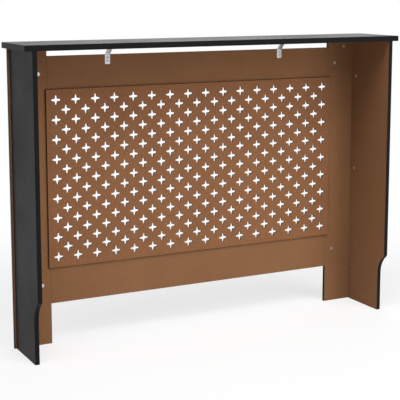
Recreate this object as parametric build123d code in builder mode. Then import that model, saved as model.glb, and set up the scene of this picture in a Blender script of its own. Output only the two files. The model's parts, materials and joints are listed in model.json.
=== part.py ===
from build123d import *
from math import acos, degrees
import os

# Radiator cover cabinet of painted fibreboard, open at the back and at the floor.
# Millimetres, +Z up. The origin is on the floor, midway along the width and midway
# between the front and back edges of the top board. The front faces -Y and the open
# back stands against the wall at +Y. Left is -X and right is +X, seen from the front.

# ---- Overall size ----
width = 1120.0
depth = 190.0
height = 815.0

# ---- Boards ----
top_thickness = 15.0
side_thickness = 12.0
frame_thickness = 10.0
grille_thickness = 5.0
arris = 0.8  # rounding of a painted edge
top_arris = 1.2
top_corner_radius = 12.0  # the two front corners of the top board
side_overhang = 20.0  # top board past the outer face of a side panel
front_reveal = 1.0  # top board past the front of the frame

# ---- Front frame ----
stile_width = 105.0
stile_overlap = 5.0  # stile past the outer face of its side panel
heat_slot_height = 24.0
top_rail_height = 93.0
bottom_rail_height = 104.0
floor_gap_height = 111.0

# ---- Skirting notch at the rear bottom of each side panel ----
notch_depth = 30.0
notch_height = 112.0  # straight part, below the arc
notch_radius = 70.0
notch_corner_radius = 11.0

# ---- Grille ----
grille_lap = 6.0  # lap on the back of the frame, all round
cross_columns = 16
cross_rows = 9
cross_pitch_x = 55.7
cross_pitch_z = 52.8
cross_reach = 13.0  # from the middle of a cross to the tip of an arm
cross_root = 7.0  # width of an arm where it meets the next one
cross_tip = 4.4
cross_tip_rise = 2.0  # height of the round end of an arm
cross_corner_radius = 2.5

# ---- Cam locks: a cam in a bore grips the head of a bolt from the next board ----
cam_radius = 5.0
cam_length = 8.5
cam_sink = 0.2  # face of the cam below the board's face
bore_clearance = 0.05
bore_depth = 9.0
bolt_depth = 5.0  # axis of the bolt below the board's face
cavity_radius = 3.6
cavity_height = 5.0
neck_slot_height = 2.8
neck_slot_margin = 23.0  # degrees that the neck slot runs past each end of the half turn
head_entry_radius = 2.4
driver_length = 6.0
driver_width = 1.3
driver_depth = 1.5
bolt_head_radius = 2.2
bolt_head_start = 0.6  # from the axis of the cam
bolt_head_end = 2.6
bolt_neck_radius = 1.2
bolt_neck_end = 6.0
bolt_shank_radius = 2.4
bolt_thread_radius = 2.5
bolt_tip_length = 1.5
channel_radius = 2.6
pilot_spare = 0.3  # hole depth past the tip of a bolt, dowel or screw

rail_cam_inset = 24.0  # from the edge of the stile to the cam
rail_bolt_grip = 11.0  # bolt length in the next board
side_cam_inset = 20.0
side_bolt_grip = 8.5
side_cam_heights = {"upper": 690.0, "middle": 410.0, "lower": 110.0}
top_cam_inset = 22.0
top_bolt_grip = 9.0
top_cam_x = 495.0

# ---- Dowels ----
dowel_radius = 3.0
dowel_chamfer = 0.8
rail_dowel_spacing = 64.0  # either side of the bolt
rail_dowel_grip = 15.0  # in each board
stile_dowel_grip = 8.0  # in the back of the stile
side_dowel_grip = 17.0
side_dowel_heights = (550.0, 260.0)
top_dowel_grip = 10.0  # in the underside of the top board
panel_dowel_grip = 15.0
top_dowel_y = (-40.0, 60.0)

# ---- Brackets between the top rail and the top board ----
bracket_x = 269.0
bracket_width = 15.0
bracket_thickness = 1.5
bracket_bend_radius = 2.5
bracket_foot = 750.0  # lower end of the flange on the rail
bracket_bend = 775.0  # where the slanted web starts
bracket_flange = 25.0  # flange under the top board
bracket_hole_radius = 2.0
bracket_hole_pitch = 9.0  # from a bend to a hole, and from there to the next one
screw_radius = 1.75
screw_length = 9.5
screw_tip_length = 2.0
screw_head_radius = 3.1
screw_head_rim = 0.8
screw_head_height = 2.0
screw_recess_length = 3.4
screw_recess_width = 0.9
screw_recess_depth = 1.1

# ---- Where the faces lie ----
underside = height - top_thickness
back_edge = depth / 2
frame_front = -depth / 2 + front_reveal
frame_back = frame_front + frame_thickness
side_outer = width / 2 - side_overhang
side_inner = side_outer - side_thickness
stile_outer = side_outer + stile_overlap
stile_inner = stile_outer - stile_width
top_rail_top = underside - heat_slot_height
top_rail_bottom = top_rail_top - top_rail_height
bottom_rail_top = floor_gap_height + bottom_rail_height
top_rail_middle = (top_rail_top + top_rail_bottom) / 2
bottom_rail_middle = (bottom_rail_top + floor_gap_height) / 2
rail_bolt_y = frame_back - bolt_depth
side_bolt_x = side_inner + bolt_depth
side_cam_y = frame_back + side_cam_inset
side_dowel_x = (side_inner + side_outer) / 2
web_rise = underside - bracket_thickness / 2 - bracket_bend

rails = {"top": top_rail_middle, "bottom": bottom_rail_middle}
sides = {"left": -1, "right": 1}
back_of_frame = Plane.XZ.offset(-frame_back)

os.makedirs("parts", exist_ok=True)


def drill(spot, outward, radius, hole_depth):
    """Drill a round hole into the board that is being built, against outward."""
    with Locations(Plane(origin=spot, z_dir=outward)):
        Hole(radius, hole_depth)


def cam_bore(seat, inset):
    """Bore for a cam, and the channel for its bolt from the edge of the board."""
    bore_radius = cam_radius + bore_clearance
    edge = seat.offset(-bolt_depth).origin + seat.x_dir * inset
    drill(seat.origin, seat.z_dir, bore_radius, bore_depth)
    drill(edge, seat.x_dir, channel_radius, inset)


def rail_cam_seat(side, height_z):
    """Seat of the cam that draws a rail's end to a stile: z out of the face, x to the bolt."""
    spot = (side * (stile_inner + rail_cam_inset), frame_back, height_z)
    return Plane(origin=spot, x_dir=(-side, 0, 0), z_dir=(0, 1, 0))


def top_cam_seat(side):
    """Seat of the cam that draws the top board down on a stile."""
    spot = (side * top_cam_x, frame_back, underside - top_cam_inset)
    return Plane(origin=spot, x_dir=(0, 0, 1), z_dir=(0, 1, 0))


def side_cam_seat(side, height_z):
    """Seat of a cam that draws a stile to the front edge of its side panel."""
    spot = (side * side_inner, side_cam_y, height_z)
    return Plane(origin=spot, x_dir=(0, -1, 0), z_dir=(-side, 0, 0))


# ---- Top board ----
with BuildPart() as top_board:
    with BuildSketch(Plane.XY.offset(underside)) as outline:
        Rectangle(width, depth)
        fillet(outline.vertices().group_by(Axis.Y)[0], top_corner_radius)
    extrude(amount=top_thickness)
    rims = top_board.faces().filter_by(Axis.Z).edges()
    fillet(rims, top_arris)
    for side in sides.values():
        drill((side * top_cam_x, rail_bolt_y, underside), (0, 0, -1),
              bolt_thread_radius, top_bolt_grip + pilot_spare)
        for dowel_y in top_dowel_y:
            drill((side * side_dowel_x, dowel_y, underside), (0, 0, -1),
                  dowel_radius, top_dowel_grip + pilot_spare)
        for step in (1, 2):
            screw_y = frame_back + web_rise + step * bracket_hole_pitch
            drill((side * bracket_x, screw_y, underside), (0, 0, -1),
                  screw_radius, screw_length - bracket_thickness + pilot_spare)
top_board.part.label = "top_board"
export_step(top_board.part, "parts/top_board.step")

# ---- Side panels ----
for side_name, side in sides.items():
    with BuildPart() as side_panel:
        with BuildSketch(Plane.YZ.offset(side * side_inner)) as profile:
            notch_y = back_edge - notch_depth
            notch_turn = degrees(acos(1 - notch_depth / notch_radius))
            with BuildLine():
                notch_arc = CenterArc((notch_y + notch_radius, notch_height), notch_radius, 180, -notch_turn)
                Polyline(notch_arc @ 0, (notch_y, 0), (frame_back, 0), (frame_back, underside),
                         (back_edge, underside), notch_arc @ 1)
            make_face()
            corner = profile.vertices().sort_by_distance(notch_arc @ 1)[0]
            fillet(corner, notch_corner_radius)
        extrude(amount=side * side_thickness)
        outer_face = side_panel.faces().sort_by(Axis.X)[-1 if side > 0 else 0]
        upright_rims = outer_face.edges().filter_by(lambda rim: 1 < rim.center().Z < underside - 1)
        fillet(upright_rims, arris)
        for height_z in side_cam_heights.values():
            cam_bore(side_cam_seat(side, height_z), side_cam_inset)
        for height_z in side_dowel_heights:
            drill((side * side_dowel_x, frame_back, height_z), (0, -1, 0),
                  dowel_radius, side_dowel_grip + pilot_spare)
        for dowel_y in top_dowel_y:
            drill((side * side_dowel_x, dowel_y, underside), (0, 0, 1),
                  dowel_radius, panel_dowel_grip + pilot_spare)
    side_panel.part.label = f"{side_name}_side_panel"
    export_step(side_panel.part, f"parts/{side_panel.part.label}.step")

# ---- Front stiles ----
for side_name, side in sides.items():
    with BuildPart() as stile:
        with BuildSketch(back_of_frame):
            with Locations((side * (stile_inner + stile_outer) / 2, underside / 2)):
                Rectangle(stile_width, underside)
        extrude(amount=frame_thickness)
        fillet(stile.faces().sort_by(Axis.Y)[0].edges().filter_by(Axis.Z), arris)
        cam_bore(top_cam_seat(side), top_cam_inset)
        for rail_middle in rails.values():
            cam_bore(rail_cam_seat(side, rail_middle), rail_cam_inset)
            for offset_z in (-rail_dowel_spacing / 2, rail_dowel_spacing / 2):
                drill((side * stile_inner, rail_bolt_y, rail_middle + offset_z), (-side, 0, 0),
                      dowel_radius, rail_dowel_grip + pilot_spare)
        for height_z in side_cam_heights.values():
            drill((side * side_bolt_x, frame_back, height_z), (0, 1, 0),
                  bolt_thread_radius, side_bolt_grip + pilot_spare)
        for height_z in side_dowel_heights:
            drill((side * side_dowel_x, frame_back, height_z), (0, 1, 0),
                  dowel_radius, stile_dowel_grip + pilot_spare)
    stile.part.label = f"{side_name}_front_stile"
    export_step(stile.part, f"parts/{stile.part.label}.step")

# ---- Rails ----
for rail_name, rail_height in (("top", top_rail_height), ("bottom", bottom_rail_height)):
    with BuildPart() as rail:
        with BuildSketch(back_of_frame):
            with Locations((0, rails[rail_name])):
                Rectangle(2 * stile_inner, rail_height)
        extrude(amount=frame_thickness)
        fillet(rail.faces().sort_by(Axis.Y)[0].edges().filter_by(Axis.X), arris)
        for side in sides.values():
            end = (side * stile_inner, rail_bolt_y)
            drill((*end, rails[rail_name]), (side, 0, 0), bolt_thread_radius, rail_bolt_grip + pilot_spare)
            for offset_z in (-rail_dowel_spacing / 2, rail_dowel_spacing / 2):
                drill((*end, rails[rail_name] + offset_z), (side, 0, 0),
                      dowel_radius, rail_dowel_grip + pilot_spare)
            if rail_name == "top":
                for step in (1, 2):
                    screw_z = bracket_bend - step * bracket_hole_pitch
                    drill((side * bracket_x, frame_back, screw_z), (0, 1, 0),
                          screw_radius, screw_length - bracket_thickness + pilot_spare)
    rail.part.label = f"{rail_name}_rail"
    export_step(rail.part, f"parts/{rail.part.label}.step")

# ---- Grille: staggered rows of crosses, the short rows one cross fewer ----
with BuildSketch() as cross_arm:
    with BuildLine():
        root = cross_root / 2
        shoulder = cross_reach - cross_tip_rise
        Polyline((cross_tip / 2, shoulder), (root, root), (0, 0), (-root, root), (-cross_tip / 2, shoulder))
        ThreePointArc((cross_tip / 2, shoulder), (0, cross_reach), (-cross_tip / 2, shoulder))
    make_face()

with BuildSketch() as cross:
    with PolarLocations(0, 4):
        add(cross_arm.sketch)
    fillet(cross.vertices().sort_by_distance((0, 0))[:4], cross_corner_radius)

with BuildPart() as grille_panel:
    with BuildSketch(back_of_frame.offset(-grille_thickness)):
        with Locations((0, (bottom_rail_top + top_rail_bottom) / 2)):
            Rectangle(2 * (stile_inner + grille_lap), top_rail_bottom - bottom_rail_top + 2 * grille_lap)
            with GridLocations(cross_pitch_x, cross_pitch_z, cross_columns, cross_rows):
                add(cross.sketch, mode=Mode.SUBTRACT)
            with GridLocations(cross_pitch_x, cross_pitch_z, cross_columns - 1, cross_rows - 1):
                add(cross.sketch, mode=Mode.SUBTRACT)
    extrude(amount=grille_thickness)
grille_panel.part.label = "grille_panel"
export_step(grille_panel.part, "parts/grille_panel.step")

# ---- Cam locks ----
cam_seats = {}
for side_name, side in sides.items():
    cam_seats[f"{side_name}_top_board_cam"] = top_cam_seat(side)
    for rail_name, rail_middle in rails.items():
        cam_seats[f"{side_name}_{rail_name}_rail_cam"] = rail_cam_seat(side, rail_middle)
    for level, height_z in side_cam_heights.items():
        cam_seats[f"{side_name}_side_{level}_cam"] = side_cam_seat(side, height_z)

for cam_name, seat in cam_seats.items():
    bolt_level = seat.offset(-bolt_depth)
    with BuildPart() as cam:
        with BuildSketch(seat.offset(-cam_sink)):
            Circle(cam_radius)
        extrude(amount=-cam_length)
        chamfer(cam.faces().sort_by(Axis(seat.origin, seat.z_dir))[-1].edges(), 0.3)
        # Cavity that the bolt's head stands in
        with BuildSketch(bolt_level.offset(-cavity_height / 2)):
            Circle(cavity_radius)
        extrude(amount=cavity_height, mode=Mode.SUBTRACT)
        # Slot for the bolt's neck, from the hole where the head enters to the locked end
        with BuildSketch(bolt_level.offset(-neck_slot_height / 2)):
            with BuildLine():
                sweep_angle = 180 + 2 * neck_slot_margin
                wall = CenterArc((0, 0), 2 * cam_radius, neck_slot_margin, -sweep_angle)
                Polyline(wall @ 0, (0, 0), wall @ 1)
            make_face()
        extrude(amount=neck_slot_height, mode=Mode.SUBTRACT)
        with BuildSketch(Plane(origin=bolt_level.origin, z_dir=-seat.x_dir)):
            Circle(head_entry_radius)
        extrude(amount=2 * cam_radius, mode=Mode.SUBTRACT)
        # Cross recess for the driver
        with BuildSketch(seat.offset(-cam_sink)):
            Rectangle(driver_length, driver_width)
            Rectangle(driver_width, driver_length)
        extrude(amount=-driver_depth, mode=Mode.SUBTRACT)
    cam.part.label = cam_name
    export_step(cam.part, f"parts/{cam_name}.step")

# ---- Bolts of the cam locks, in one group for each length ----
bolt_groups = {
    "rail_cam_bolts": ("rail_cam", rail_cam_inset, rail_bolt_grip),
    "side_cam_bolts": ("_side_", side_cam_inset, side_bolt_grip),
    "top_board_cam_bolts": ("top_board_cam", top_cam_inset, top_bolt_grip),
}
for group_name, (name_part, inset, grip) in bolt_groups.items():
    with BuildPart() as bolt:
        with BuildSketch(Plane.XZ):
            with BuildLine():
                Polyline(
                    (0, bolt_head_start),
                    (bolt_head_radius, bolt_head_start),
                    (bolt_head_radius, bolt_head_end),
                    (bolt_neck_radius, bolt_head_end),
                    (bolt_neck_radius, bolt_neck_end),
                    (bolt_shank_radius, bolt_neck_end),
                    (bolt_shank_radius, inset),
                    (bolt_thread_radius, inset),
                    (bolt_thread_radius, inset + grip - bolt_tip_length),
                    (bolt_neck_radius, inset + grip),
                    (0, inset + grip),
                    close=True,
                )
            make_face()
        revolve(axis=Axis.Z)
    with BuildPart() as bolts:
        for cam_name, seat in cam_seats.items():
            if name_part in cam_name:
                with Locations(Plane(origin=seat.offset(-bolt_depth).origin, z_dir=seat.x_dir)):
                    add(bolt.part)
    bolts.part.label = group_name
    export_step(bolts.part, f"parts/{group_name}.step")

# ---- Dowels, in one group for each joint: where the boards meet, and the grip on each side ----
dowel_groups = {
    "rail_dowels": (
        [
            Plane(origin=(side * stile_inner, rail_bolt_y, rail_middle + offset_z), z_dir=(side, 0, 0))
            for side in sides.values()
            for rail_middle in rails.values()
            for offset_z in (-rail_dowel_spacing / 2, rail_dowel_spacing / 2)
        ],
        rail_dowel_grip,
        rail_dowel_grip,
    ),
    "stile_dowels": (
        [
            Plane(origin=(side * side_dowel_x, frame_back, height_z), z_dir=(0, 1, 0))
            for side in sides.values()
            for height_z in side_dowel_heights
        ],
        side_dowel_grip,
        stile_dowel_grip,
    ),
    "top_board_dowels": (
        [
            Plane(origin=(side * side_dowel_x, dowel_y, underside), z_dir=(0, 0, 1))
            for side in sides.values()
            for dowel_y in top_dowel_y
        ],
        top_dowel_grip,
        panel_dowel_grip,
    ),
}
for group_name, (meetings, grip_ahead, grip_behind) in dowel_groups.items():
    with BuildPart() as dowel:
        with BuildSketch(Plane.XY.offset(-grip_behind)):
            Circle(dowel_radius)
        extrude(amount=grip_behind + grip_ahead)
        chamfer(dowel.edges().filter_by(GeomType.CIRCLE), dowel_chamfer)
    with BuildPart() as dowels:
        for meeting in meetings:
            with Locations(meeting):
                add(dowel.part)
    dowels.part.label = group_name
    export_step(dowels.part, f"parts/{group_name}.step")

# ---- Brackets ----
flange_y = frame_back + bracket_thickness / 2
flange_z = underside - bracket_thickness / 2
for side_name, side in sides.items():
    with BuildPart() as bracket:
        with BuildSketch(Plane.YZ.offset(side * bracket_x - bracket_width / 2)):
            with BuildLine():
                FilletPolyline(
                    (flange_y, bracket_foot),
                    (flange_y, bracket_bend),
                    (flange_y + web_rise, flange_z),
                    (flange_y + web_rise + bracket_flange, flange_z),
                    radius=bracket_bend_radius,
                )
            trace(line_width=bracket_thickness)
        extrude(amount=bracket_width)
        for step in (1, 2):
            drill((side * bracket_x, frame_back + bracket_thickness, bracket_bend - step * bracket_hole_pitch),
                  (0, 1, 0), bracket_hole_radius, bracket_thickness)
            drill((side * bracket_x, frame_back + web_rise + step * bracket_hole_pitch,
                   underside - bracket_thickness), (0, 0, -1), bracket_hole_radius, bracket_thickness)
    bracket.part.label = f"{side_name}_top_bracket"
    export_step(bracket.part, f"parts/{bracket.part.label}.step")

# ---- Bracket screws: pan head with a cross recess, pointed end ----
with BuildPart() as screw:
    with BuildSketch(Plane.XZ):
        with BuildLine():
            Polyline(
                (screw_head_radius, screw_head_rim),
                (screw_head_radius, 0),
                (screw_radius, 0),
                (screw_radius, screw_tip_length - screw_length),
                (0, -screw_length),
                (0, screw_head_height),
            )
            TangentArc((0, screw_head_height), (screw_head_radius, screw_head_rim), tangent=(1, 0))
        make_face()
    revolve(axis=Axis.Z)
    with BuildSketch(Plane.XY.offset(screw_head_height - screw_recess_depth)):
        Rectangle(screw_recess_length, screw_recess_width)
        Rectangle(screw_recess_width, screw_recess_length)
    extrude(amount=screw_head_height, mode=Mode.SUBTRACT)

screw_groups = {"bracket_rail_screws": [], "bracket_top_screws": []}
for side in sides.values():
    for step in (1, 2):
        on_rail = (side * bracket_x, frame_back + bracket_thickness, bracket_bend - step * bracket_hole_pitch)
        on_top = (side * bracket_x, frame_back + web_rise + step * bracket_hole_pitch,
                  underside - bracket_thickness)
        screw_groups["bracket_rail_screws"].append(Plane(origin=on_rail, z_dir=(0, 1, 0)))
        screw_groups["bracket_top_screws"].append(Plane(origin=on_top, z_dir=(0, 0, -1)))

for group_name, seats in screw_groups.items():
    with BuildPart() as screws:
        for seat in seats:
            with Locations(seat):
                add(screw.part)
    screws.part.label = group_name
    export_step(screws.part, f"parts/{group_name}.step")
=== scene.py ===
"""Radiator cover cabinet: finishes for its boards and fittings, and a plain pale studio.

Each board is painted satin black on its outer face and its edges, and is bare brown
fibreboard on the face turned to the radiator. Metres, +Z up, the front faces -Y.
"""

import json
import logging
import math
from collections.abc import Callable
from dataclasses import dataclass, field
from enum import Enum

import bmesh
import bpy
from mathutils import Matrix, Vector


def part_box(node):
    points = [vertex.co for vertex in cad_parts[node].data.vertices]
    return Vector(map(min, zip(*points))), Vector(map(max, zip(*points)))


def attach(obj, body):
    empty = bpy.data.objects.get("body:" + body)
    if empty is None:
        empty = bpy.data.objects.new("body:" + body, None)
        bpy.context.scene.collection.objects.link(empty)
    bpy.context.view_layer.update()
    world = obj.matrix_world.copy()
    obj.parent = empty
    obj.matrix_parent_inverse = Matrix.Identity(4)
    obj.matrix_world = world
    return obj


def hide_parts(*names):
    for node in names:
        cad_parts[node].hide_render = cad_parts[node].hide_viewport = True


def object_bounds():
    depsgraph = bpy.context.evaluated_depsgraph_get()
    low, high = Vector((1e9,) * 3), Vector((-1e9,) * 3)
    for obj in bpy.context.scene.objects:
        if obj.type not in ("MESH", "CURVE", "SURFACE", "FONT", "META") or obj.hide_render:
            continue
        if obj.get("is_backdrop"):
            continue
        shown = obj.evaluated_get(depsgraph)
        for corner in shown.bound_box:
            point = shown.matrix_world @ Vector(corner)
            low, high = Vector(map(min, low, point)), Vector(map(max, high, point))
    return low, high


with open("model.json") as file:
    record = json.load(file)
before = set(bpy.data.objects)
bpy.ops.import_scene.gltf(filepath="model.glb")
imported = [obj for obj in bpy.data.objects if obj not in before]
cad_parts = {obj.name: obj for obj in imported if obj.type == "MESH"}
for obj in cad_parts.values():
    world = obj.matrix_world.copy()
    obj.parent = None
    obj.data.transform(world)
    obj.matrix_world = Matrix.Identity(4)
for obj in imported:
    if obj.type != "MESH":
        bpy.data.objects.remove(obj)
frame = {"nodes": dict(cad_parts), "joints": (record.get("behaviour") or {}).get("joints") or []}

logger = logging.getLogger("radiator_cover")

MM = 0.001
MERGE_DISTANCE = 0.001 * MM
SMOOTH_ANGLE = math.radians(30.0)  # edges that turn less than this are shaded smooth
ORIGIN = (0.0, 0.0, 0.0)
LEVEL = (0.0, 0.0, 0.0)  # no turn about X, Y or Z
STANDING = (math.pi / 2, 0.0, 0.0)  # the turn that stands a flat shape up
NOISE_MIDDLE = 0.5

# The Mix node has sockets of its own for each kind of data: share, first, second and result.
MIX_SOCKETS = {"RGBA": (0, 6, 7, 2), "FLOAT": (0, 2, 3, 0)}

Colour = tuple[float, float, float]
Triple = tuple[float, float, float]
Range = tuple[float, float]
Socket = bpy.types.NodeSocket
Value = Socket | float | tuple[float, ...] | Vector


class Side(Enum):
    """A side of the cabinet, seen from the front, with the sign of its x."""

    LEFT = -1
    RIGHT = 1

    @property
    def word(self) -> str:
        """The word that the names of this side's pieces start with."""
        return self.name.lower()


# ---- Node trees ----


@dataclass(frozen=True)
class Noise:
    """A noise: its scale per metre, its octaves, and the weight of the finer octaves."""

    scale: float
    octaves: float
    roughness: float = 0.5


@dataclass
class NodeSheet:
    """A node tree that is being drawn, with short ways to add nodes and link them."""

    tree: bpy.types.NodeTree

    def add(self, kind: str, **settings: object) -> bpy.types.Node:
        """Add a node and set its properties.

        Args:
            kind: Name of the node's class, without its ShaderNode prefix.
            **settings: Properties of the node, by name.

        Returns:
            The new node.
        """
        node = self.tree.nodes.new("ShaderNode" + kind)
        for name, value in settings.items():
            setattr(node, name, value)
        return node

    def feed(self, socket: Socket, value: Value) -> None:
        """Link a socket to another one, or set its own value.

        Args:
            socket: The node's input.
            value: Another node's output, or a plain value.
        """
        if isinstance(value, bpy.types.NodeSocket):
            self.tree.links.new(value, socket)
        else:
            socket.default_value = value

    def math(self, operation: str, *values: Socket | float, clamp: bool = False) -> Socket:
        """Add a Math node.

        Args:
            operation: The node's operation.
            *values: What goes into its sockets, in order.
            clamp: Whether the result is kept between 0 and 1.

        Returns:
            The node's output.
        """
        node = self.add("Math", operation=operation, use_clamp=clamp)
        for socket, value in zip(node.inputs, values):
            self.feed(socket, value)
        return node.outputs[0]

    def vector(self, operation: str, *values: Value) -> bpy.types.Node:
        """Add a Vector Math node.

        Args:
            operation: The node's operation.
            *values: What goes into its sockets, in order.

        Returns:
            The node, because its result is a vector or a number.
        """
        node = self.add("VectorMath", operation=operation)
        for socket, value in zip(node.inputs, values):
            self.feed(socket, value)
        return node

    def remap(self, value: Socket, source: Range, target: Range = (0.0, 1.0)) -> Socket:
        """Map a value smoothly from one range to another, held at the ends.

        Args:
            value: The value that comes in.
            source: Its range.
            target: The range of the result.

        Returns:
            The mapped value.
        """
        node = self.add("MapRange", interpolation_type="SMOOTHSTEP")
        self.feed(node.inputs["Value"], value)
        for name, number in zip(("From Min", "From Max", "To Min", "To Max"), (*source, *target)):
            node.inputs[name].default_value = number
        return node.outputs["Result"]

    def noise(self, vector: Socket, noise: Noise) -> Socket:
        """Add a Noise Texture.

        Args:
            vector: Where the noise is read.
            noise: Its settings.

        Returns:
            The noise, about 0.5 on average.
        """
        node = self.add("TexNoise")
        self.feed(node.inputs["Vector"], vector)
        node.inputs["Scale"].default_value = noise.scale
        node.inputs["Detail"].default_value = noise.octaves
        node.inputs["Roughness"].default_value = noise.roughness
        return node.outputs["Fac"]

    def stretched(self, vector: Socket, stretch: Triple) -> Socket:
        """Stretch a pattern's coordinates, each axis by its own factor."""
        return self.vector("MULTIPLY", vector, stretch).outputs["Vector"]

    def mix(self, share: Socket | float, first: Socket | Colour, second: Socket | Colour) -> Socket:
        """Mix two colours.

        Args:
            share: The share of the second one.
            first: The colour where share is 0.
            second: The colour where share is 1.

        Returns:
            The mixed colour.
        """
        colours = [
            value if isinstance(value, bpy.types.NodeSocket) else (*value, 1.0)
            for value in (first, second)
        ]
        return self.mixed("RGBA", share, *colours)

    def blend(self, share: Socket | float, first: Socket | float, second: Socket | float) -> Socket:
        """Mix two numbers, as mix does with colours."""
        return self.mixed("FLOAT", share, first, second)

    def mixed(self, kind: str, *values: Value) -> Socket:
        """Add a Mix node.

        Args:
            kind: The node's kind of data.
            *values: The share of the second value, the first value and the second one.

        Returns:
            The node's output for that kind.
        """
        node = self.add("Mix", data_type=kind)
        *inputs, output = MIX_SOCKETS[kind]
        for index, value in zip(inputs, values):
            self.feed(node.inputs[index], value)
        return node.outputs[output]


class NodeGroup:
    """A shared effect: a node group that is drawn once and placed in several materials."""

    title = "effect"
    inputs: dict[str, float | Triple] = {}
    outputs: dict[str, str] = {}

    def __init__(self) -> None:
        """Make the group's sockets and draw its nodes."""
        self.tree = bpy.data.node_groups.new(self.title, "ShaderNodeTree")
        for name, default in self.inputs.items():
            kind = "NodeSocketVector" if isinstance(default, tuple) else "NodeSocketFloat"
            socket = self.tree.interface.new_socket(name, in_out="INPUT", socket_type=kind)
            socket.default_value = default
        for name, kind in self.outputs.items():
            self.tree.interface.new_socket(name, in_out="OUTPUT", socket_type=kind)
        self.sheet = NodeSheet(self.tree)
        self.given = self.tree.nodes.new("NodeGroupInput").outputs
        self.result = self.tree.nodes.new("NodeGroupOutput").inputs
        self.draw()

    def draw(self) -> None:
        """Draw the nodes between the group's inputs and outputs."""

    def place(self, sheet: NodeSheet, **values: Value) -> bpy.types.bpy_prop_collection:
        """Place the group in a material.

        Args:
            sheet: The material's node sheet.
            **values: What goes into the group's inputs, by name.

        Returns:
            The placed group's outputs.
        """
        node = sheet.tree.nodes.new("ShaderNodeGroup")
        node.node_tree = self.tree
        for name, value in values.items():
            sheet.feed(node.inputs[name], value)
        return node.outputs


class FibreMottle(NodeGroup):
    """Pressed wood fibre: soft blotches, clumps, a tinge, and loose strands and flecks."""

    title = "fibre mottle"
    inputs = {"Place": (0.0, 0.0, 0.0), "Coarse": 1.0, "Clump": 1.0, "Fine": 1.0}
    outputs = {
        "Tone": "NodeSocketFloat",
        "Tinge": "NodeSocketFloat",
        "Strands": "NodeSocketFloat",
        "Flecks": "NodeSocketFloat",
        "Height": "NodeSocketFloat",
    }
    blotches = Noise(9.0, 3.0)
    clumps = Noise(240.0, 3.0, 0.6)
    grain = Noise(900.0, 3.0, 0.65)
    tinge = Noise(210.0, 3.0, 0.6)
    tinge_offset = (3.1, 1.7, 5.3)
    tinge_range = (0.35, 0.65)
    strands = Noise(1100.0, 1.0)
    flecks = Noise(1400.0, 1.0)
    fleck_axis = (1.0, 1.0, 1.0)
    fleck_turn = math.radians(40.0)
    fibre_stretch = 0.13
    fibre_range = (0.66, 0.78)
    strand_height = 0.3

    def draw(self) -> None:
        """Draw the tone and the tinge, about 0.5 on average, the two kinds of fibre and the height."""
        sheet, place = self.sheet, self.given["Place"]
        grain = sheet.noise(place, self.grain)
        tone = self.swing(sheet.noise(place, self.blotches), "Coarse")
        tone = sheet.math("ADD", tone, self.swing(sheet.noise(place, self.clumps), "Clump"))
        tone = sheet.math("ADD", tone, self.swing(grain, "Fine"))
        sheet.feed(self.result["Tone"], sheet.math("ADD", tone, NOISE_MIDDLE, clamp=True))
        aside = sheet.vector("ADD", place, self.tinge_offset).outputs["Vector"]
        tinge = sheet.remap(sheet.noise(aside, self.tinge), self.tinge_range)
        sheet.feed(self.result["Tinge"], tinge)
        turned = sheet.add("VectorRotate", rotation_type="AXIS_ANGLE")
        sheet.feed(turned.inputs["Vector"], place)
        turned.inputs["Axis"].default_value = self.fleck_axis
        turned.inputs["Angle"].default_value = self.fleck_turn
        strands = self.fibres(place, self.strands)
        sheet.feed(self.result["Strands"], strands)
        sheet.feed(self.result["Flecks"], self.fibres(turned.outputs["Vector"], self.flecks))
        sheet.feed(self.result["Height"], sheet.blend(self.strand_height, grain, strands))

    def swing(self, noise: Socket, share: str) -> Socket:
        """How far a noise lies from its middle, times one of the group's inputs."""
        away = self.sheet.math("SUBTRACT", noise, NOISE_MIDDLE)
        return self.sheet.math("MULTIPLY", away, self.given[share])

    def fibres(self, place: Socket, noise: Noise) -> Socket:
        """Draw fibres that lie along three axes.

        Args:
            place: Where the pattern is read.
            noise: The noise that is stretched into fibres.

        Returns:
            1 on a fibre and 0 between them.
        """
        sheet, found = self.sheet, 0.0
        for axis in range(3):
            stretch = tuple(self.fibre_stretch if axis == other else 1.0 for other in range(3))
            found = sheet.math("MAXIMUM", sheet.noise(sheet.stretched(place, stretch), noise), found)
        return sheet.remap(found, self.fibre_range)


class SprayedPaint(NodeGroup):
    """Sprayed satin paint: a slight orange peel, and patches that are a little duller."""

    title = "sprayed paint"
    inputs = {"Place": (0.0, 0.0, 0.0)}
    outputs = {"Dullness": "NodeSocketFloat", "Height": "NodeSocketFloat"}
    patches = Noise(5.0, 4.0, 0.6)
    grit = Noise(900.0, 2.0)
    peel = Noise(260.0, 2.0, 0.4)
    gritty_dullness = 0.25
    gritty_height = 0.35
    dull_range = (0.35, 0.65)

    def draw(self) -> None:
        """Draw the dull patches, 0 to 1, and the height of the peel."""
        sheet, place = self.sheet, self.given["Place"]
        grit = sheet.noise(place, self.grit)
        dull = sheet.blend(self.gritty_dullness, sheet.noise(place, self.patches), grit)
        sheet.feed(self.result["Dullness"], sheet.remap(dull, self.dull_range))
        height = sheet.blend(self.gritty_height, sheet.noise(place, self.peel), grit)
        sheet.feed(self.result["Height"], height)


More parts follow.
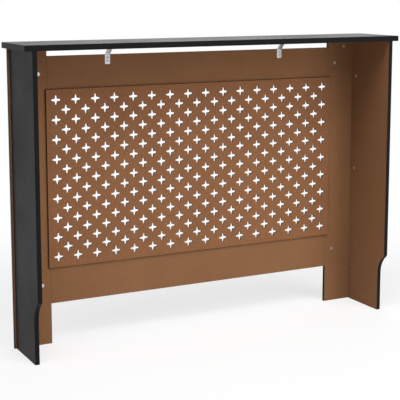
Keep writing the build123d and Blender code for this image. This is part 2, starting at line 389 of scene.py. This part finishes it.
class PaintFringeAndShade(NodeGroup):
    """The ragged line of paint that an edge's coat leaves along the border of a bare face, drawn wide
    enough to also be painted shade where parts meet.
    """

    title = "paint fringe"
    inputs = {"Place": (0.0, 0.0, 0.0), "Low": (0.0, 0.0, 0.0), "High": (0.0, 0.0, 0.0), "Width": 1.0}
    outputs = {"Mask": "NodeSocketFloat"}
    ragged = Noise(420.0, 3.0, 0.6)
    fade = (0.45, 1.0)  # from paint to bare board, in widths from the border

    def draw(self) -> None:
        """Draw the mask: 1 on the border of the box from Low to High, 0 a width further in."""
        sheet, place = self.sheet, self.given["Place"]
        from_low = sheet.vector("SUBTRACT", place, self.given["Low"]).outputs["Vector"]
        from_high = sheet.vector("SUBTRACT", self.given["High"], place).outputs["Vector"]
        nearest = sheet.add("SeparateXYZ")
        sheet.feed(nearest.inputs[0], sheet.vector("MINIMUM", from_low, from_high).outputs["Vector"])
        gap = sheet.math("MINIMUM", *nearest.outputs[:2])
        gap = sheet.math("MINIMUM", gap, nearest.outputs["Z"])
        widths = sheet.math("DIVIDE", gap, self.given["Width"])
        swing = sheet.math("SUBTRACT", sheet.noise(place, self.ragged), NOISE_MIDDLE)
        # The mask darkens a bare face along its border: black paint, and painted shade where parts meet.
        mask = sheet.remap(sheet.math("ADD", widths, swing), self.fade, (1.0, 0.0))
        sheet.feed(self.result["Mask"], mask)


# ---- Finishes ----


@dataclass
class Workshop:
    """The shared effects that the finishes use."""

    mottle: FibreMottle = field(default_factory=FibreMottle)
    paint: SprayedPaint = field(default_factory=SprayedPaint)
    fringe_and_shade: PaintFringeAndShade = field(default_factory=PaintFringeAndShade)


def new_material(title: str) -> tuple[bpy.types.Material, NodeSheet, bpy.types.Node]:
    """Start a material that has one Principled shader.

    Args:
        title: The material's name.

    Returns:
        The material, its node sheet and the shader.
    """
    material = bpy.data.materials.new(title)
    material.use_nodes = True
    return material, NodeSheet(material.node_tree), material.node_tree.nodes["Principled BSDF"]


def object_place(sheet: NodeSheet) -> Socket:
    """The place on the piece, in metres from the cabinet's origin."""
    return sheet.add("TexCoord").outputs["Object"]


def raise_surface(sheet: NodeSheet, shader: bpy.types.Node, height: Socket, distance: float = 1.0) -> None:
    """Let a shader's surface look raised.

    Args:
        sheet: The material's node sheet.
        shader: Its shader.
        height: How far it is raised.
        distance: What one unit of height measures, in metres.
    """
    bump = sheet.add("Bump")
    bump.inputs["Distance"].default_value = distance
    sheet.feed(bump.inputs["Height"], height)
    sheet.feed(shader.inputs["Normal"], bump.outputs["Normal"])


@dataclass(frozen=True)
class RawBoard:
    """Bare fibreboard, as it comes from the press."""

    light: Colour
    dark: Colour
    tinge: Colour
    strand: Colour
    fleck: Colour
    coarse: float
    clump: float
    fine: float
    tinge_share: float
    strand_share: float = 0.4
    fleck_share: float = 0.45
    roughness: float = 0.82
    relief: float = 0.08 * MM

    def colour(self, sheet: NodeSheet, fibre: bpy.types.bpy_prop_collection) -> Socket:
        """Mix the board's colour.

        Args:
            sheet: The material's node sheet.
            fibre: The outputs of the placed fibre mottle.

        Returns:
            The colour.
        """
        board = sheet.mix(fibre["Tone"], self.dark, self.light)
        board = sheet.mix(sheet.math("MULTIPLY", fibre["Tinge"], self.tinge_share), board, self.tinge)
        board = sheet.mix(sheet.math("MULTIPLY", fibre["Strands"], self.strand_share), board, self.strand)
        return sheet.mix(sheet.math("MULTIPLY", fibre["Flecks"], self.fleck_share), board, self.fleck)


@dataclass(frozen=True)
class BoardFinish:
    """A board with black paint on its outer face and edges, and one bare face.

    The bare face is the one that bare_side points at, out of the board.
    """

    title: str
    raw: RawBoard
    low: Vector
    high: Vector
    bare_side: Vector
    fringe_and_shade_width: float = 0.4 * MM
    bare_margin: float = 0.05 * MM
    paint: Colour = (0.0055, 0.0055, 0.0057)
    paint_roughness: Range = (0.48, 0.56)
    peel: float = 0.02 * MM
    specular: float = 0.112
    soft_edge: float = 0.25 * MM

    def material(self, workshop: Workshop) -> bpy.types.Material:
        """Make the finish's material.

        Args:
            workshop: The shared effects.

        Returns:
            The material.
        """
        material, sheet, shader = new_material(self.title)
        place = object_place(sheet)
        bare_level = max(self.low.dot(self.bare_side), self.high.dot(self.bare_side)) - self.bare_margin
        along = sheet.vector("DOT_PRODUCT", place, self.bare_side).outputs["Value"]
        bare = sheet.remap(along, (bare_level - self.soft_edge, bare_level))
        off_face = Vector([abs(part) for part in self.bare_side])
        # A dark border on the bare face: paint fringe, and painted shade along the joints between boards.
        fringe_and_shade = workshop.fringe_and_shade.place(
            sheet, Place=place, Low=self.low - off_face, High=self.high + off_face, Width=self.fringe_and_shade_width
        )
        bare = sheet.math("MULTIPLY", bare, sheet.math("SUBTRACT", 1.0, fringe_and_shade["Mask"]))
        fibre = workshop.mottle.place(
            sheet, Place=place, Coarse=self.raw.coarse, Clump=self.raw.clump, Fine=self.raw.fine
        )
        skin = workshop.paint.place(sheet, Place=place)
        sheet.feed(shader.inputs["Base Color"], sheet.mix(bare, self.paint, self.raw.colour(sheet, fibre)))
        satin = sheet.blend(skin["Dullness"], *self.paint_roughness)
        sheet.feed(shader.inputs["Roughness"], sheet.blend(bare, satin, self.raw.roughness))
        shader.inputs["Specular IOR Level"].default_value = self.specular
        painted_height = sheet.math("MULTIPLY", skin["Height"], self.peel)
        bare_height = sheet.math("MULTIPLY", fibre["Height"], self.raw.relief)
        raise_surface(sheet, shader, sheet.blend(bare, painted_height, bare_height))
        return material


@dataclass(frozen=True)
class MetalFinish:
    """Bare or plated metal with a fine grain and duller patches."""

    title: str
    colour: Colour
    stained: Colour
    roughness: Range
    grain: Noise
    patches: Noise
    stretch: Triple = (1.0, 1.0, 1.0)
    grain_range: Range = (0.3, 0.7)
    stain_range: Range = (0.42, 0.68)
    relief: float = 0.01 * MM

    def material(self) -> bpy.types.Material:
        """Make the finish's material.

        Returns:
            The material.
        """
        material, sheet, shader = new_material(self.title)
        place = object_place(sheet)
        grain = sheet.noise(sheet.stretched(place, self.stretch), self.grain)
        stain = sheet.remap(sheet.noise(place, self.patches), self.stain_range)
        sheet.feed(shader.inputs["Base Color"], sheet.mix(stain, self.colour, self.stained))
        shader.inputs["Metallic"].default_value = 1.0
        sheet.feed(shader.inputs["Roughness"], sheet.remap(grain, self.grain_range, self.roughness))
        raise_surface(sheet, shader, sheet.math("MULTIPLY", grain, self.relief))
        return material


@dataclass(frozen=True)
class DowelFinish:
    """Plain beech with its short dark rays."""

    title: str
    light: Colour
    dark: Colour
    coarse: float = 1.0
    clump: float = 1.0
    fine: float = 1.2
    roughness: float = 0.7
    relief: float = 0.05 * MM

    def material(self, workshop: Workshop) -> bpy.types.Material:
        """Make the finish's material.

        Args:
            workshop: The shared effects.

        Returns:
            The material.
        """
        material, sheet, shader = new_material(self.title)
        fibre = workshop.mottle.place(
            sheet, Place=object_place(sheet), Coarse=self.coarse, Clump=self.clump, Fine=self.fine
        )
        sheet.feed(shader.inputs["Base Color"], sheet.mix(fibre["Tone"], self.dark, self.light))
        shader.inputs["Roughness"].default_value = self.roughness
        raise_surface(sheet, shader, fibre["Height"], self.relief)
        return material


FRAME_BOARD = RawBoard(
    light=(0.262, 0.131, 0.063),
    dark=(0.170, 0.077, 0.034),
    tinge=(0.205, 0.104, 0.050),
    strand=(0.330, 0.178, 0.092),
    fleck=(0.105, 0.045, 0.019),
    coarse=0.5,
    clump=0.9,
    fine=0.8,
    tinge_share=0.3,
)
GRILLE_BOARD = RawBoard(
    light=(0.320, 0.136, 0.065),
    dark=(0.144, 0.063, 0.030),
    tinge=(0.185, 0.100, 0.043),
    strand=(0.350, 0.178, 0.090),
    fleck=(0.105, 0.042, 0.017),
    coarse=0.5,
    clump=2.0,
    fine=1.2,
    tinge_share=0.5,
)
ZINC_PLATE = MetalFinish(
    title="bright zinc plate",
    colour=(0.70, 0.71, 0.72),
    stained=(0.61, 0.62, 0.63),
    roughness=(0.36, 0.50),
    grain=Noise(900.0, 4.0, 0.6),
    patches=Noise(108.0, 3.0),
    stretch=(0.15, 1.0, 1.0),
)
ZINC_CASTING = MetalFinish(
    title="die-cast zinc",
    colour=(0.78, 0.77, 0.77),
    stained=(0.66, 0.65, 0.66),
    roughness=(0.30, 0.46),
    grain=Noise(1500.0, 4.0, 0.6),
    patches=Noise(180.0, 3.0),
)
BEECH = DowelFinish(title="beech", light=(0.60, 0.42, 0.25), dark=(0.45, 0.29, 0.16))


def dress(node: str, material: bpy.types.Material) -> None:
    """Give a piece of the frame its material.

    Args:
        node: The piece's name.
        material: Its material.
    """
    piece = frame["nodes"][node]
    piece.data.materials.clear()
    piece.data.materials.append(material)
    logger.info("dressed %s in %s", node, material.name)


def dress_board(node: str, title: str, bare_side: Vector, workshop: Workshop) -> None:
    """Give a board of the frame its finish.

    Args:
        node: The board's name.
        title: Its material's name.
        bare_side: Where its bare face points.
        workshop: The shared effects.
    """
    finish = BoardFinish(title, FRAME_BOARD, *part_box(node), bare_side)
    dress(node, finish.material(workshop))


# ---- Modelling helpers ----


def settle(
    title: str,
    finish: bpy.types.Material,
    place: Triple | Vector = ORIGIN,
    turn: Triple = LEVEL,
) -> bpy.types.Object:
    """Turn the active object into a finished mesh, with its own origin at the cabinet's.

    Args:
        title: The piece's name.
        finish: Its material.
        place: Where the shape goes.
        turn: Its turn about X, Y and Z, in radians.

    Returns:
        The piece, with its place and its turn in its mesh.
    """
    piece = bpy.context.object
    piece.name = title
    if piece.type != "MESH":
        bpy.ops.object.convert(target="MESH")
    piece.rotation_euler = turn
    piece.location = place
    bpy.ops.object.transform_apply(location=True, rotation=True, scale=True)
    bpy.ops.object.mode_set(mode="EDIT")
    bpy.ops.mesh.select_all(action="SELECT")
    bpy.ops.mesh.remove_doubles(threshold=MERGE_DISTANCE)
    bpy.ops.mesh.normals_make_consistent(inside=False)
    bpy.ops.object.mode_set(mode="OBJECT")
    piece.data.materials.append(finish)
    return piece


def pick(kind: str, wanted: Callable[[Vector], bool]) -> None:
    """Select what passes a test in the mesh that is being edited, and nothing else.

    Args:
        kind: VERT, EDGE or FACE.
        wanted: Says from its middle point whether one of that kind is picked.
    """
    bpy.ops.mesh.select_mode(type=kind)
    bpy.ops.mesh.select_all(action="DESELECT")
    mesh = bmesh.from_edit_mesh(bpy.context.object.data)
    parts, middle = {
        "VERT": (mesh.verts, lambda vertex: vertex.co),
        "EDGE": (mesh.edges, lambda edge: (edge.verts[0].co + edge.verts[1].co) / 2),
        "FACE": (mesh.faces, lambda face: face.calc_center_median()),
    }[kind]
    for part in parts:
        part.select_set(wanted(middle(part)))
    bmesh.update_edit_mesh(bpy.context.object.data)


def finish_with(kind: str, **settings: object) -> None:
    """Give the active object a modifier and apply it.

    Args:
        kind: The modifier's type.
        **settings: Its properties, by name.
    """
    piece = bpy.context.object
    modifier = piece.modifiers.new(kind.lower(), kind)
    for name, value in settings.items():
        setattr(modifier, name, value)
    bpy.ops.object.modifier_apply(modifier=modifier.name)


def hand_over(piece: bpy.types.Object, body: str, slot: str, *nodes: str) -> None:
    """Let a new piece ride on a body, in the place of the frame's nodes.

    Args:
        piece: The finished piece.
        body: The body that it moves with.
        slot: The record's material slot, which is not used.
        *nodes: The frame's nodes that it stands for.
    """
    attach(piece, body)
    if nodes:
        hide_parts(*nodes)
    bpy.ops.object.select_all(action="DESELECT")
    logger.info("built %s on %s, %d faces", piece.name, body, len(piece.data.polygons))


# ---- Sub-assemblies ----


@dataclass
class CrossHole:
    """A cross-shaped hole: four arms with round ends, wider at the root."""

    reach: float = 13.0 * MM
    root: float = 7.0 * MM
    tip: float = 4.4 * MM
    tip_rise: float = 2.0 * MM
    corner_radius: float = 2.5 * MM
    tip_steps: int = 6
    corner_steps: int = 3

    def outline(self) -> list[Vector]:
        """The hole's outline, clockwise round its middle.

        Returns:
            The outline's points.
        """
        tip_radius = ((self.tip / 2) ** 2 + self.tip_rise ** 2) / (2 * self.tip_rise)
        tip_middle = Vector((0.0, self.reach - tip_radius))
        tip_reach = math.atan2(self.tip / 2, tip_radius - self.tip_rise)
        lean = math.atan2((self.root - self.tip) / 2, self.reach - self.tip_rise - self.root / 2)
        corner_away = self.corner_radius / math.sin(math.pi / 4 + lean) / math.sqrt(2)
        corner_middle = Vector((self.root / 2 + corner_away,) * 2)
        arm = []
        for step in range(self.tip_steps + 1):
            angle = tip_reach * (2 * step / self.tip_steps - 1)
            arm.append(tip_middle + tip_radius * Vector((math.sin(angle), math.cos(angle))))
        for step in range(self.corner_steps + 1):
            share = step / self.corner_steps
            angle = math.pi + lean + (math.pi / 2 - 2 * lean) * share
            arm.append(corner_middle + self.corner_radius * Vector((math.cos(angle), math.sin(angle))))
        return [Matrix.Rotation(-quarter * math.pi / 2, 2) @ point for quarter in range(4) for point in arm]


@dataclass
class Grille:
    """The pierced panel, with its rims eased on both faces."""

    hole: CrossHole = field(default_factory=CrossHole)
    pitch: tuple[float, float] = (55.7 * MM, 52.8 * MM)
    columns: int = 16
    rows: int = 9
    eased: float = 0.35 * MM

    def hole_places(self) -> list[Vector]:
        """Lay the holes out in a grid, and in a second one that is staggered into its gaps.

        Returns:
            The holes' middles, measured from the panel's own.
        """
        places = []
        for columns, rows in ((self.columns, self.rows), (self.columns - 1, self.rows - 1)):
            for column in range(columns):
                for row in range(rows):
                    across = (column - (columns - 1) / 2) * self.pitch[0]
                    up = (row - (rows - 1) / 2) * self.pitch[1]
                    places.append(Vector((across, up)))
        return places

    def build(self, finish: bpy.types.Material) -> None:
        """Model the grille as a flat pierced outline with an eased edge.

        Args:
            finish: The grille's material.
        """
        low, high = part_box("grille_panel")
        half_width, half_height = (high.x - low.x) / 2, (high.z - low.z) / 2
        corners = ((-1, -1), (1, -1), (1, 1), (-1, 1))
        outlines = [[Vector((half_width * x, half_height * y)) for x, y in corners]]
        around_hole = self.hole.outline()
        outlines += [[middle + point for point in around_hole] for middle in self.hole_places()]
        outline = bpy.data.curves.new("grille outline", "CURVE")
        outline.dimensions = "2D"
        outline.fill_mode = "BOTH"
        for points in outlines:
            spline = outline.splines.new("POLY")
            spline.points.add(len(points) - 1)
            for point, target in zip(spline.points, points):
                point.co = (target.x, target.y, 0.0, 1.0)
            spline.use_cyclic_u = True
        outline.extrude = (high.y - low.y) / 2 - self.eased
        outline.bevel_depth = self.eased
        outline.bevel_resolution = 0
        outline.offset = -self.eased
        plate = bpy.data.objects.new("pierced_grille", outline)
        bpy.context.collection.objects.link(plate)
        bpy.context.view_layer.objects.active = plate
        plate.select_set(True)
        piece = settle("pierced_grille", finish, (low + high) / 2, STANDING)
        bpy.ops.object.shade_smooth_by_angle(angle=SMOOTH_ANGLE)
        hand_over(piece, "root", "black_painted_grille", "grille_panel")


@dataclass
class Boards:
    """The boards of the cabinet: top board, side panels, front frame and grille."""

    frame_nodes: tuple[str, ...] = ("left_front_stile", "right_front_stile", "top_rail", "bottom_rail")
    # Wider on the grille, so its dark border is paint and also painted shadow along the grille's edges.
    grille_fringe_and_shade: float = 0.8 * MM

    def dress(self, workshop: Workshop) -> None:
        """Dress each board, with its bare face turned to the radiator.

        Args:
            workshop: The shared effects.
        """
        backwards = Vector((0.0, 1.0, 0.0))
        down = Vector((0.0, 0.0, -1.0))
        for node in self.frame_nodes:
            dress_board(node, node.replace("_", " "), backwards, workshop)
        low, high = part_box("grille_panel")
        grille = BoardFinish("grille board", GRILLE_BOARD, low, high, backwards, self.grille_fringe_and_shade)
        Grille().build(grille.material(workshop))
        dress_board("top_board", "top board", down, workshop)
        for side in Side:
            inwards = Vector((-side.value, 0.0, 0.0))
            dress_board(f"{side.word}_side_panel", f"{side.word} side board", inwards, workshop)


@dataclass
class Bracket:
    """A steel strip that is folded twice, from the back of the top rail up to the top board."""

    thickness: float = 1.5 * MM
    flange: float = 25.0 * MM
    turn: float = math.radians(45.0)  # at each bend: between them the strip goes as far up as back
    bend_radius: float = 2.5 * MM
    bend_steps: int = 5
    corner_radius: float = 2.2 * MM
    corner_steps: int = 5
    hole_radius: float = 2.0 * MM
    hole_sides: int = 24
    hole_pitch: float = 9.0 * MM
    cutter_length: float = 6.0 * MM
    eased: float = 0.2 * MM
    eased_steps: int = 2
    sharp: float = math.radians(50.0)  # edges that turn more than this are eased

    def build(self, side: Side, finish: bpy.types.Material) -> None:
        """Fold the strip, round its corners, thicken it and drill it.

        Args:
            side: The side of the cabinet that it is on.
            finish: Its metal.
        """
        node = f"{side.word}_top_bracket"
        low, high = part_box(node)
        middle_x = (low.x + high.x) / 2
        front_y = low.y + self.thickness / 2
        top_z = high.z - self.thickness / 2
        rise = high.y - front_y - self.flange
        bend_z = top_z - rise
        flange_middle = (middle_x, front_y, (low.z + bend_z) / 2)
        bpy.ops.mesh.primitive_plane_add(size=1.0, location=flange_middle, rotation=STANDING)
        strip = bpy.context.object
        strip.scale = (high.x - low.x, bend_z - low.z, 1.0)
        bpy.ops.object.transform_apply(location=True, rotation=True, scale=True)
        bpy.ops.object.mode_set(mode="EDIT")
        pick("EDGE", lambda middle: middle.z > bend_z - self.eased)
        bpy.ops.mesh.extrude_region_move(TRANSFORM_OT_translate={"value": (0.0, rise, rise)})
        bpy.ops.mesh.extrude_region_move(TRANSFORM_OT_translate={"value": (0.0, self.flange, 0.0)})
        bends = (Vector((middle_x, front_y, bend_z)), Vector((middle_x, front_y + rise, top_z)))
        pick("EDGE", lambda middle: any((middle - bend).length < self.eased for bend in bends))
        run = self.bend_radius * math.tan(self.turn / 2)
        bpy.ops.mesh.bevel(offset=run, segments=self.bend_steps, affect="EDGES")
        pick("VERT", lambda place: place.z < low.z + self.eased or place.y > high.y - self.eased)
        bpy.ops.mesh.bevel(offset=self.corner_radius, segments=self.corner_steps, affect="VERTICES")
        bpy.ops.object.mode_set(mode="OBJECT")
        finish_with("SOLIDIFY", thickness=self.thickness, offset=0.0, use_even_offset=True)
        finish_with(
            "BEVEL",
            width=self.eased,
            segments=self.eased_steps,
            limit_method="ANGLE",
            angle_limit=self.sharp,
        )
        for away in (self.hole_pitch, 2 * self.hole_pitch):
            self.drill(strip, Vector((middle_x, front_y, bend_z - away)), STANDING)
            self.drill(strip, Vector((middle_x, low.y + rise + away, top_z)), LEVEL)
        piece = settle(f"{side.word}_folded_bracket", finish)
        bpy.ops.object.shade_smooth_by_angle(angle=SMOOTH_ANGLE)
        hand_over(piece, "root", "zinc_plated_steel", node)

    def drill(self, strip: bpy.types.Object, place: Vector, turn: Triple) -> None:
        """Drill a hole through the strip.

        Args:
            strip: The thickened strip, which is active again afterwards.
            place: The hole's middle.
            turn: The hole's turn about X, Y and Z, in radians.
        """
        bpy.ops.mesh.primitive_cylinder_add(
            vertices=self.hole_sides,
            radius=self.hole_radius,
            depth=self.cutter_length,
            location=place,
            rotation=turn,
        )
        cutter = bpy.context.object
        bpy.ops.object.select_all(action="DESELECT")
        bpy.context.view_layer.objects.active = strip
        strip.select_set(True)
        finish_with("BOOLEAN", operation="DIFFERENCE", solver="EXACT", object=cutter)
        bpy.data.objects.remove(cutter)


@dataclass
class TurnMark:
    """The arrow cast on a cam's face, on the side where the head of its bolt enters."""

    away: float = 3.75 * MM
    radius: float = 0.9 * MM
    corners: int = 3
    rise: float = 0.25 * MM
    root: float = 0.2 * MM
    eased: float = 0.06 * MM
    eased_steps: int = 2

    @staticmethod
    def entry_side(cam: str, seat: Vector) -> Vector:
        """Find the side of a closed cam where the bolt's head enters.

        Args:
            cam: The cam's name.
            seat: A point on its axis.

        Returns:
            The way there, which leads away from the board that the bolt is in.
        """
        if cam.endswith("_top_board_cam"):
            return Vector((0.0, 0.0, -1.0))
        if "_side_" in cam:
            return Vector((0.0, 1.0, 0.0))
        return Vector((math.copysign(1.0, seat.x), 0.0, 0.0))

    def build(self, cam: str, seat: Vector, finish: bpy.types.Material) -> None:
        """Model the arrow and let it turn with its cam.

        Args:
            cam: The cam's name, which its body has too.
            seat: A point on the cam's axis, outside its face.
            finish: The cam's metal.
        """
        low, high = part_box(cam)
        middle = (low + high) / 2
        outwards = (seat - middle).normalized()
        face = middle + outwards * abs((high - low).dot(outwards)) / 2
        ahead = self.entry_side(cam, seat)
        frame_of_mark = Matrix((ahead.cross(outwards), ahead, outwards)).transposed()
        bpy.ops.mesh.primitive_cylinder_add(
            vertices=self.corners,
            radius=self.radius,
            depth=self.root + self.rise,
            location=face + ahead * self.away + outwards * (self.rise - self.root) / 2,
            rotation=frame_of_mark.to_euler(),
        )
        bpy.ops.object.transform_apply(location=True, rotation=True, scale=True)
        bpy.ops.object.mode_set(mode="EDIT")
        top = (face + outwards * self.rise).dot(outwards)
        pick("FACE", lambda place: place.dot(outwards) > top - self.eased)
        bpy.ops.mesh.bevel(offset=self.eased, segments=self.eased_steps, affect="EDGES")
        bpy.ops.object.mode_set(mode="OBJECT")
        piece = settle(f"{cam}_arrow", finish)
        hand_over(piece, cam, "zinc_casting")


@dataclass
class Fittings:
    """The brackets, cam locks, bolts, screws and dowels."""

    bracket: Bracket = field(default_factory=Bracket)
    mark: TurnMark = field(default_factory=TurnMark)

    def dress(self, workshop: Workshop) -> None:
        """Dress each fitting in its metal or wood, and model what the frame's solids leave plain.

        Args:
            workshop: The shared effects.
        """
        plate = ZINC_PLATE.material()
        casting = ZINC_CASTING.material()
        beech = BEECH.material(workshop)
        for node in frame["nodes"]:
            if node.endswith("_cam"):
                dress(node, casting)
            elif node.endswith(("_bolts", "_screws")):
                dress(node, plate)
            elif node.endswith("_dowels"):
                dress(node, beech)
        for side in Side:
            self.bracket.build(side, plate)
        for lock in frame["joints"]:
            self.mark.build(lock["child"], Vector(lock["pos_m"]), casting)


# ---- Studio ----


@dataclass(frozen=True)
class Softbox:
    """A square area lamp that points at the cabinet, and that a gloss shows only if glossy is set.

    Its angles are in degrees, its power is in watts.
    """

    title: str
    azimuth: float
    elevation: float
    power: float
    distance: float = 4.0
    size: float = 2.2
    glossy: bool = False

    def place(self, target: Vector) -> None:
        """Set the lamp up.

        Args:
            target: What it points at.
        """
        turn, rise = math.radians(self.azimuth), math.radians(self.elevation)
        away = Vector((math.sin(turn) * math.cos(rise), -math.cos(turn) * math.cos(rise), math.sin(rise)))
        bpy.ops.object.light_add(type="AREA", location=target + away * self.distance)
        lamp = bpy.context.object
        lamp.name = self.title
        lamp.rotation_euler = away.to_track_quat("Z", "Y").to_euler()
        lamp.data.shape = "SQUARE"
        lamp.data.size = self.size
        lamp.data.energy = self.power
        lamp.visible_camera = False
        lamp.visible_glossy = self.glossy


@dataclass
class Studio:
    """Pale floor, white surroundings, soft lamps and the camera."""

    sky_level: float = 0.03
    floor_albedo: float = 0.90
    floor_roughness: float = 0.9
    floor_specular: float = 0.1
    floor_size: float = 30.0
    shadow_reach: Range = (0.75, 1.6)
    shadow_share: float = 0.30
    softboxes: tuple[Softbox, ...] = (
        Softbox("overhead softbox", azimuth=130.0, elevation=60.0, power=107.0),
        Softbox("back softbox", azimuth=190.0, elevation=45.0, power=89.0),
        Softbox("low softbox", azimuth=215.0, elevation=12.0, power=61.0),
        Softbox(
            "front softbox", azimuth=-30.0, elevation=35.0, power=58.0, distance=4.5, size=3.0, glossy=True
        ),
    )
    eye: Triple = (1.42837, 2.67631, 0.95968)
    heading: float = 27.539  # degrees from -Y towards -X
    dip: float = 8.542  # degrees below level
    lens: float = 100.196
    sensor_width: float = 36.0
    shift_y: float = -0.12

    def build(self) -> None:
        """Set the studio up round the cabinet."""
        low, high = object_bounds()
        middle = (low + high) / 2
        for softbox in self.softboxes:
            softbox.place(middle)
        self.paint_surroundings()
        self.lay_floor()
        self.place_camera()
        bpy.context.scene.view_settings.view_transform = "Standard"

    def paint_surroundings(self) -> None:
        """White where the camera and the gloss look, and nearly dark for the light."""
        world = bpy.data.worlds.new("surroundings")
        bpy.context.scene.world = world
        world.use_nodes = True
        sheet = NodeSheet(world.node_tree)
        backdrop = world.node_tree.nodes["Background"]
        backdrop.inputs["Color"].default_value = (1.0, 1.0, 1.0, 1.0)
        sheet.feed(backdrop.inputs["Strength"], sheet.blend(seen_ray(sheet), self.sky_level, 1.0))

    def lay_floor(self) -> None:
        """A pale floor that keeps the cabinet's shadow near it and turns white further out."""
        bpy.ops.mesh.primitive_plane_add(size=self.floor_size)
        floor = bpy.context.object
        floor.name = "floor"
        floor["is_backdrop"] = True
        material, sheet, shader = new_material("pale floor")
        shader.inputs["Base Color"].default_value = (self.floor_albedo,) * 3 + (1.0,)
        shader.inputs["Roughness"].default_value = self.floor_roughness
        shader.inputs["Specular IOR Level"].default_value = self.floor_specular
        glow = sheet.add("Emission")
        reach = sheet.vector("LENGTH", object_place(sheet)).outputs["Value"]
        white_share = sheet.remap(reach, self.shadow_reach, (1.0 - self.shadow_share, 1.0))
        mixer = sheet.add("MixShader")
        sheet.feed(mixer.inputs[0], sheet.math("MULTIPLY", seen_ray(sheet), white_share))
        sheet.feed(mixer.inputs[1], shader.outputs[0])
        sheet.feed(mixer.inputs[2], glow.outputs[0])
        sheet.feed(material.node_tree.nodes["Material Output"].inputs["Surface"], mixer.outputs[0])
        floor.data.materials.append(material)

    def place_camera(self) -> None:
        """The camera at the photograph's viewing angle, behind the cabinet and to its right."""
        turn, dip = math.radians(self.heading), math.radians(self.dip)
        ahead = Vector((-math.sin(turn) * math.cos(dip), -math.cos(turn) * math.cos(dip), -math.sin(dip)))
        bpy.ops.object.camera_add(location=self.eye, rotation=ahead.to_track_quat("-Z", "Y").to_euler())
        camera = bpy.context.object
        camera.data.lens = self.lens
        camera.data.sensor_width = self.sensor_width
        camera.data.shift_y = self.shift_y
        bpy.context.scene.camera = camera


def seen_ray(sheet: NodeSheet) -> Socket:
    """Tell the rays that show a surface from those that light others.

    Args:
        sheet: The node sheet of a material or of the world.

    Returns:
        1 for rays from the camera, a gloss or a see-through surface, and 0 for all others.
    """
    path = sheet.add("LightPath")
    seen = sheet.math("MAXIMUM", path.outputs["Is Camera Ray"], path.outputs["Is Glossy Ray"])
    return sheet.math("MAXIMUM", seen, path.outputs["Is Transmission Ray"])


def main() -> None:
    """Dress the cabinet and set up its studio."""
    logging.basicConfig(level=logging.INFO, format="%(message)s")
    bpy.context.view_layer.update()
    bpy.ops.object.select_all(action="DESELECT")
    workshop = Workshop()
    Boards().dress(workshop)
    Fittings().dress(workshop)
    Studio().build()


if __name__ == "__main__":
    main()
